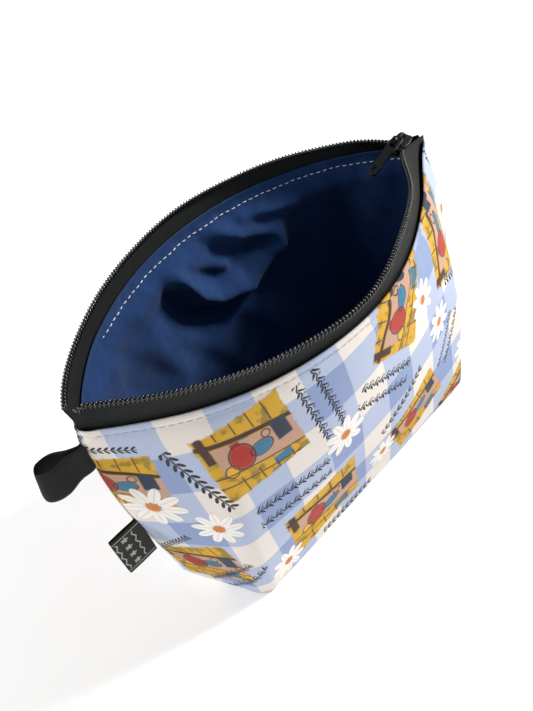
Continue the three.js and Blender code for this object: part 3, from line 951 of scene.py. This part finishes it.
def coil_line(side):
    along = np.linspace(-GIRTH / 2 + 1, GIRTH / 2 - 1, 1800)
    line = lip_row(side, along, 0, 0, LIP_APART)
    low, high = COIL_ENDS[side]
    return line[(line[:, 0] > low) & (line[:, 0] < high)]


def resampled(line, count):
    length = np.concatenate([[0], np.cumsum(np.linalg.norm(np.diff(line, axis=0), axis=1))])
    at = np.linspace(0, length[-1], count)
    return np.stack([np.interp(at, length, line[:, i]) for i in range(3)], 1), length[-1]


def make_coils(material):
    steps = 12
    for word, side in SIDES:
        line = coil_line(side)
        _, length = resampled(line, 10)
        turns = int(length / COIL_PITCH)
        path, _ = resampled(line, turns * steps + 1)
        ahead = np.gradient(path, axis=0)
        ahead /= np.linalg.norm(ahead, axis=1)[:, None]
        up = np.array([0, 0, 1]) * 0.93 + np.cross(ahead, [0, 0, 1]) * side * 0.36
        out = np.cross(up, ahead)
        phase = np.arange(len(path)) * 2 * math.pi / steps
        wire = path + up * np.cos(phase)[:, None] * COIL_OVER + out * np.sin(phase)[:, None] * COIL_DEEP
        spiral = swept_tube(wire, WIRE_R, 6)
        core = swept_tube(resampled(line, 160)[0], 0.55, 8)
        thing = new_object(f"{word}_coil_spiral", *gather([spiral, core]), material)
        finish_piece(thing, "bag", "zip_coil", f"{word}_zip_coil")


# ---------- stitching ----------

def stitch_row(line, long, gap, radius, lift):
    """Separate stitches along a line. lift moves each one's middle."""
    dense, length = resampled(line, 2400)
    parts = []
    for start in np.arange(gap, length - long, long + gap):
        share = np.linspace(0, 1, 7)
        at = (start + share * long) / length * (len(dense) - 1)
        path = np.stack([np.interp(at, np.arange(len(dense)), dense[:, i]) for i in range(3)], 1)
        path = path + lift(path) * np.sin(share * math.pi)[:, None]
        girth = radius * (0.45 + 0.55 * np.sin(share * math.pi) ** 0.5)
        parts.append(swept_tube(path, girth, 7))
    return gather(parts)


def outward(path, side):
    ahead = np.gradient(path, axis=0)
    normal = np.cross(ahead, [0, 0, 1]) * -side
    return normal / np.linalg.norm(normal, axis=1)[:, None]


LINING_STITCH_DROP = 4.8  # the same row comes out a little lower on the lining


def make_top_stitches(white, pale):
    along = np.linspace(-GIRTH / 2 + 5, GIRTH / 2 - 5, 900)
    for word, side in SIDES:
        z = EDGE_Z - STITCH_DROP
        seen = wall_row(side, along, z, -outer_swell(side)(along, z) + 0.08, lifted(along, z))
        z = EDGE_Z - LINING_STITCH_DROP
        sunk = 0.5 * (1 - smooth(along, -75, -58))
        inner = wall_row(side, along, z, LINING_INSET - lining_sag(side)(along, z) + 0.05 - sunk)
        rows = gather([
            stitch_row(seen, 2.5, 0.7, 0.2, lambda p, s=side: outward(p, s) * 0.1),
            stitch_row(inner, 2.0, 1.2, 0.24, lambda p, s=side: -outward(p, s) * 0.16),
        ])
        thing = new_object(f"{word}_top_stitching", *rows, pale if side == FRONT else white)
        finish_piece(thing, "bag", "thread", f"{word}_top_stitch")


# ---------- slider and pull ----------

def rounded_plate(name, outline, low, high, material, bevel=0.35, holes=()):
    """A flat plate with rounded edges. outline and holes are lists of points, the outline anticlockwise."""
    bm = bmesh.new()
    loops = []
    for edge in (outline, *holes):
        verts = [bm.verts.new((x * MM, y * MM, low * MM)) for x, y in edge]
        loops += [bm.edges.new((verts[i], verts[(i + 1) % len(verts)])) for i in range(len(verts))]
    bmesh.ops.triangle_fill(bm, use_beauty=True, edges=loops)
    extruded = bmesh.ops.extrude_face_region(bm, geom=bm.faces[:])
    top = [v for v in extruded["geom"] if isinstance(v, bmesh.types.BMVert)]
    bmesh.ops.translate(bm, verts=top, vec=(0, 0, (high - low) * MM))
    bmesh.ops.recalc_face_normals(bm, faces=bm.faces)
    mesh = bpy.data.meshes.new(name)
    bm.to_mesh(mesh)
    bm.free()
    mesh.materials.append(material)
    thing = placed(name, mesh)
    soften(thing, bevel)
    return thing


def soften(thing, bevel, segments=3):
    rounding = thing.modifiers.new("edges", "BEVEL")
    rounding.width = bevel * MM
    rounding.segments = segments
    rounding.limit_method = "ANGLE"
    rounding.angle_limit = math.radians(35)
    bpy.context.view_layer.objects.active = thing
    with bpy.context.temp_override(object=thing, active_object=thing, selected_objects=[thing]):
        bpy.ops.object.modifier_apply(modifier=rounding.name)
    thing.data.polygons.foreach_set("use_smooth", [True] * len(thing.data.polygons))
    thing.data.set_sharp_from_angle(angle=math.radians(50))


def smooth_outline(corners, per_corner=6, radius=0.8):
    """Rounds the corners of a closed outline."""
    made = []
    count = len(corners)
    for i, corner in enumerate(corners):
        here = np.array(corner, float)
        before = np.array(corners[i - 1], float) - here
        after = np.array(corners[(i + 1) % count], float) - here
        cut = min(radius, np.linalg.norm(before) * 0.45, np.linalg.norm(after) * 0.45)
        start = here + before / np.linalg.norm(before) * cut
        end = here + after / np.linalg.norm(after) * cut
        for t in np.linspace(0, 1, per_corner):
            made.append(tuple((1 - t) ** 2 * start + 2 * t * (1 - t) * here + t * t * end))
    return made


def joined(name, things):
    """One object from several, by putting their meshes together."""
    bm = bmesh.new()
    for thing in things:
        bm.from_mesh(thing.data)
    mesh = bpy.data.meshes.new(name)
    bm.to_mesh(mesh)
    bm.free()
    mesh.materials.append(things[0].data.materials[0])
    mesh.polygons.foreach_set("use_smooth", [True] * len(mesh.polygons))
    mesh.set_sharp_from_angle(angle=math.radians(50))
    for thing in things:
        bpy.data.objects.remove(thing)
    return placed(name, mesh)


def shield(left, right, width, middle):
    half = width / 2
    corners = [(left, -half * 0.5), (left + 1.7, -half), (left + 5.2, -half), (right, -half * 0.62),
               (right, half * 0.62), (left + 5.2, half), (left + 1.7, half), (left, half * 0.5)]
    return smooth_outline([(x, y + middle) for x, y in corners], radius=1.4)


PLATE_CLEAR, PLATE_THICK = 0.35, 1.1
PLATE_LOW = LIP_RIGHT_Z + COIL_R + PLATE_CLEAR
PLATE_TOP = PLATE_LOW + PLATE_THICK
PLATE_UNDER = LIP_RIGHT_Z - COIL_R - PLATE_CLEAR
BAIL_LONG, BAIL_WIDE, BAIL_THICK = 6.4, 1.7, 0.75


def make_slider(material):
    """Two plates joined by a post, with a bail over the upper one."""
    left, right = SLIDER_LOW[0], SLIDER_HIGH[0]
    width = SLIDER_HIGH[1] - SLIDER_LOW[1]
    upper, lower = shield(left, right, width, ZIP_Y), shield(left, left + 5.4, width - 2.2, ZIP_Y)
    post = smooth_outline([(left + x, ZIP_Y + y) for x, y in ((0.4, -1), (2.4, -1), (2.4, 1), (0.4, 1))])
    sunk = 0.4  # how far the post's ends go into the plates
    parts = [
        rounded_plate("upper", upper, PLATE_LOW, PLATE_TOP, material),
        rounded_plate("lower", lower, PLATE_UNDER - PLATE_THICK, PLATE_UNDER, material),
        rounded_plate("post", post, PLATE_UNDER - sunk, PLATE_LOW + sunk, material, bevel=0.1),
        new_object("bail", *strip_along(bail_arch(left + 0.9), BAIL_WIDE, BAIL_THICK), material),
    ]
    finish_piece(joined("slider_shell", parts), "slider", "slider_enamel", "zip_slider_body")


def bail_arch(left, count=25):
    foot = PLATE_TOP - 0.3
    rise = SLIDER_HIGH[2] - foot - 0.35
    turn = np.linspace(0, math.pi, count)
    x = left + BAIL_LONG / 2 - (BAIL_LONG / 2 - 0.4) * np.cos(turn)
    return np.stack([x, np.full(count, ZIP_Y), foot + rise * np.sin(turn) ** 0.5], 1)


def strip_along(path, width, thick):
    """A flat bar swept along a path in an upright plane: its width lies along Y."""
    ahead = np.gradient(path, axis=0)
    ahead /= np.linalg.norm(ahead, axis=1)[:, None]
    normal = np.cross(ahead, [0, 1, 0])
    section = [(-0.5, -0.3), (-0.3, -0.5), (0.3, -0.5), (0.5, -0.3),
               (0.5, 0.3), (0.3, 0.5), (-0.3, 0.5), (-0.5, 0.3)]
    points = []
    for p, n in zip(path, normal):
        points += [p + np.array([0, a * width, 0]) + n * b * thick for a, b in section]
    return np.array(points), tube_faces(len(path), len(section))


PULL_DROOP = math.radians(20)
PULL_LONG, PULL_WIDE, PULL_EYE = 21, 5.6, 5.6
PIVOT_IN, PIVOT_UP = 2.6, 1.85  # the pull's axis, from the slider's left end and its upper plate


def oblong(left, right, half):
    return [(left, -half), (left, half), (right, half), (right, -half)]


def make_pull(material):
    half = PULL_WIDE / 2
    corners = [(0.6, -half + 0.4), (0.6, half - 0.4), (-PULL_EYE, half), (-9, half - 0.8),
               (1.6 - PULL_LONG, half - 0.4), (-PULL_LONG, half - 1.8), (-PULL_LONG, 1.8 - half),
               (1.6 - PULL_LONG, 0.4 - half), (-9, 0.8 - half), (-PULL_EYE, -half)]
    eye = smooth_outline(oblong(0.2 - PULL_EYE, -0.7, 1.4), radius=0.5)
    slot = smooth_outline(oblong(1.8 - PULL_LONG, 4.8 - PULL_LONG, 1))
    outline = smooth_outline(corners)
    thing = rounded_plate("pull_plate", outline, -0.5, 0.5, material, 0.25, holes=(eye, slot))
    pivot = Vector((SLIDER_LOW[0] + PIVOT_IN, ZIP_Y, PLATE_TOP + PIVOT_UP)) * MM
    thing.data.transform(Matrix.Translation(pivot) @ Matrix.Rotation(-PULL_DROOP, 4, "Y"))
    finish_piece(thing, "pull", "slider_enamel", "zip_pull_tab")


# ---------- loop and label ----------

LABEL_WIDE, LABEL_OUT, LABEL_THICK = 28, 14.7, 0.45  # LABEL_OUT is from the root to the fold
STRAP_WIDE = 14.5


def band(name, path, width, thick, material, droop=lambda s: 0 * s, twist=lambda s: 0 * s):
    """A flat band whose width stands upright, along a level path. droop lowers it and twist leans it."""
    share = np.linspace(0, 1, len(path))
    ahead = np.gradient(path, axis=0)
    ahead /= np.linalg.norm(ahead, axis=1)[:, None]
    sideways = np.cross(ahead, [0, 0, 1])
    path = path + np.stack([0 * share, 0 * share, -droop(share)], 1)
    lean = twist(share)[:, None]
    up = np.array([0, 0, 1]) * np.cos(lean) + sideways * np.sin(lean)
    out = np.cross(up, ahead)
    across = np.linspace(-0.5, 0.5, 13)
    length = np.concatenate([[0], np.cumsum(np.linalg.norm(np.diff(path, axis=0), axis=1))])
    flat = np.stack(np.broadcast_arrays(length[None], (across * width)[:, None]), -1)
    middle = path[None] + up[None] * (across * width)[:, None, None]
    edge = thick / 2 * (1 - 0.5 * np.abs(2 * across) ** 8)
    half = out[None] * edge[:, None, None]
    return closed_sheet(name, middle + half, middle - half, material, flat, FRONT)


def spline(points, count):
    """A smooth path through a few level points (Catmull-Rom)."""
    before = 2 * np.array(points[0]) - points[1]
    after = 2 * np.array(points[-1]) - points[-2]
    p = np.array([before, *points, after], float)
    made = []
    for i in range(1, len(p) - 2):
        t = np.linspace(0, 1, 12, endpoint=False)[:, None]
        made.append(0.5 * (2 * p[i] + (p[i + 1] - p[i - 1]) * t
                           + (2 * p[i - 1] - 5 * p[i] + 4 * p[i + 1] - p[i + 2]) * t ** 2
                           + (3 * p[i] - p[i - 1] - 3 * p[i + 1] + p[i + 2]) * t ** 3))
    made.append(p[-2][None])
    return resampled(np.concatenate(made), count)[0]


LOOP_TURN = math.radians(25)  # toward the back
LOOP_HALF = [(0, 0.8), (4, 1.6), (9, 4), (13, 4.3), (16.4, 3), (17.5, 0)]  # half a teardrop
LOOP_DROOP, LOOP_TWIST, STRAP_THICK = 3, 0.18, 0.9
ROOT_OUT, ROOT_IN = 1.4, 2.2  # a root's joint is this far out of the wall, and the cloth goes this far in


def seam_root(node):
    """Where a piece leaves the left seam, and how far out it reaches."""
    low, high = node_box(node)
    z = (low[2] + high[2]) / 2
    across = wall_row(FRONT, np.linspace(-GIRTH / 2, 0, 400), z, 0)[0]
    x = across[0] - ROOT_OUT
    return x, float(seam_y(z)), z, x - low[0]


def sew_in(thing, x, y, z):
    """Bakes the piece's placement into its mesh."""
    Vector((x + 1.6, y, z)) * MM
    Vector((x - 3, y, z)) * MM
    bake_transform(thing)


def make_loop(material):
    x, y, z, _ = seam_root("side_loop")
    c, s = math.cos(LOOP_TURN), math.sin(LOOP_TURN)
    teardrop = [(u, -v) for u, v in LOOP_HALF] + LOOP_HALF[-2::-1]
    points = [(x - u * c + v * s, y + u * s + v * c, z) for u, v in teardrop]
    points = [(x + ROOT_IN, y - 0.5, z), *points, (x + ROOT_IN, y + 0.5, z)]
    path = spline(points, 150)
    thing = band("webbing_loop", path, STRAP_WIDE, STRAP_THICK, material,
                 droop=lambda share: LOOP_DROOP * np.sin(share * math.pi) ** 2,
                 twist=lambda share: LOOP_TWIST * np.sin(share * math.pi) ** 2)
    sew_in(thing, x, y, z)
    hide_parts("side_loop")


def make_label(material):
    x, y, z, out = seam_root("side_label")
    r = LABEL_THICK  # of the bend at the fold
    turn = np.linspace(math.pi / 2, 1.5 * math.pi, 9)
    bend = [(x - out + 0.7 + r * math.cos(a), y + r * math.sin(a), z) for a in turn]
    ends = [(x + ROOT_IN, y + r, z), (x - 5, y + r + 0.15, z)]
    path = resampled(np.array([*ends, *bend, *((a, 2 * y - b, c) for a, b, c in reversed(ends))]), 90)[0]
    thing = band("woven_label", path, LABEL_WIDE, LABEL_THICK, material)
    sew_in(thing, x, y, z)
    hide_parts("side_label")


# ---------- floor and light ----------

LIGHT_TARGET = Vector((0, 10, 60))


def make_stage():
    paint = Paint("floor", roughness=0.9, specular=0.1)
    place = paint.solid_place()
    paint.colour(paint.mix(rgb("#f7f6f4"), rgb("#fbfaf9"), paint.noise(place, 0.01, 2)))
    size = 3000
    sheet = [(-size, -size, -0.05), (size, -size, -0.05), (size, size, -0.05), (-size, size, -0.05)]
    floor = new_object("floor", sheet, [(0, 1, 2, 3)], paint.material)
    world = bpy.data.worlds.new("studio")
    world.use_nodes = True
    world.node_tree.nodes["Background"].inputs[0].default_value = (0.97, 0.98, 1.0, 1)
    world.node_tree.nodes["Background"].inputs[1].default_value = 0.24
    bpy.context.scene.world = world
    bpy.context.scene.view_settings.view_transform = "Standard"
    # name, place, size, power in watts, colour
    lights = [
        ("key", (1150, -300, 860), 280, 29, (1.0, 0.98, 0.95)),
        ("low", (-350, -1250, 330), 500, 7, (0.95, 0.97, 1.0)),
        ("rear", (-950, 800, 900), 600, 22, (1.0, 1.0, 1.0)),
    ]
    for name, spot, size, power, colour in lights:
        data = bpy.data.lights.new(name, "AREA")
        data.energy, data.size, data.color = power, size * MM, colour
        lamp = placed(name, data)
        lamp.location = Vector(spot) * MM
        lamp.rotation_euler = (LIGHT_TARGET * MM - lamp.location).to_track_quat("-Z", "Y").to_euler()


# ---------- the whole bag ----------

make_camera()
white_thread = twisted_thread("white_thread", "#f4f2ee", "#bdbab4")
make_outer_panels(printed_cotton())
make_wadding(wadding())
make_linings(navy_cotton())
make_tapes(twill_tape())
make_coils(black_nylon())
make_top_stitches(white_thread, twisted_thread("pale_thread", "#a9adb8", "#8d919c"))
enamel = black_enamel()
make_slider(enamel)
make_pull(enamel)
make_loop(ribbed_webbing())
make_label(woven_label())
for node in ("left_side_seam_thread", "right_side_seam_thread", "left_lining_seam_thread",
             "right_lining_seam_thread", "base_seam_thread", "lining_base_seam_thread"):
    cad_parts[node].data.materials.clear()
    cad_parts[node].data.materials.append(white_thread)
make_stage()
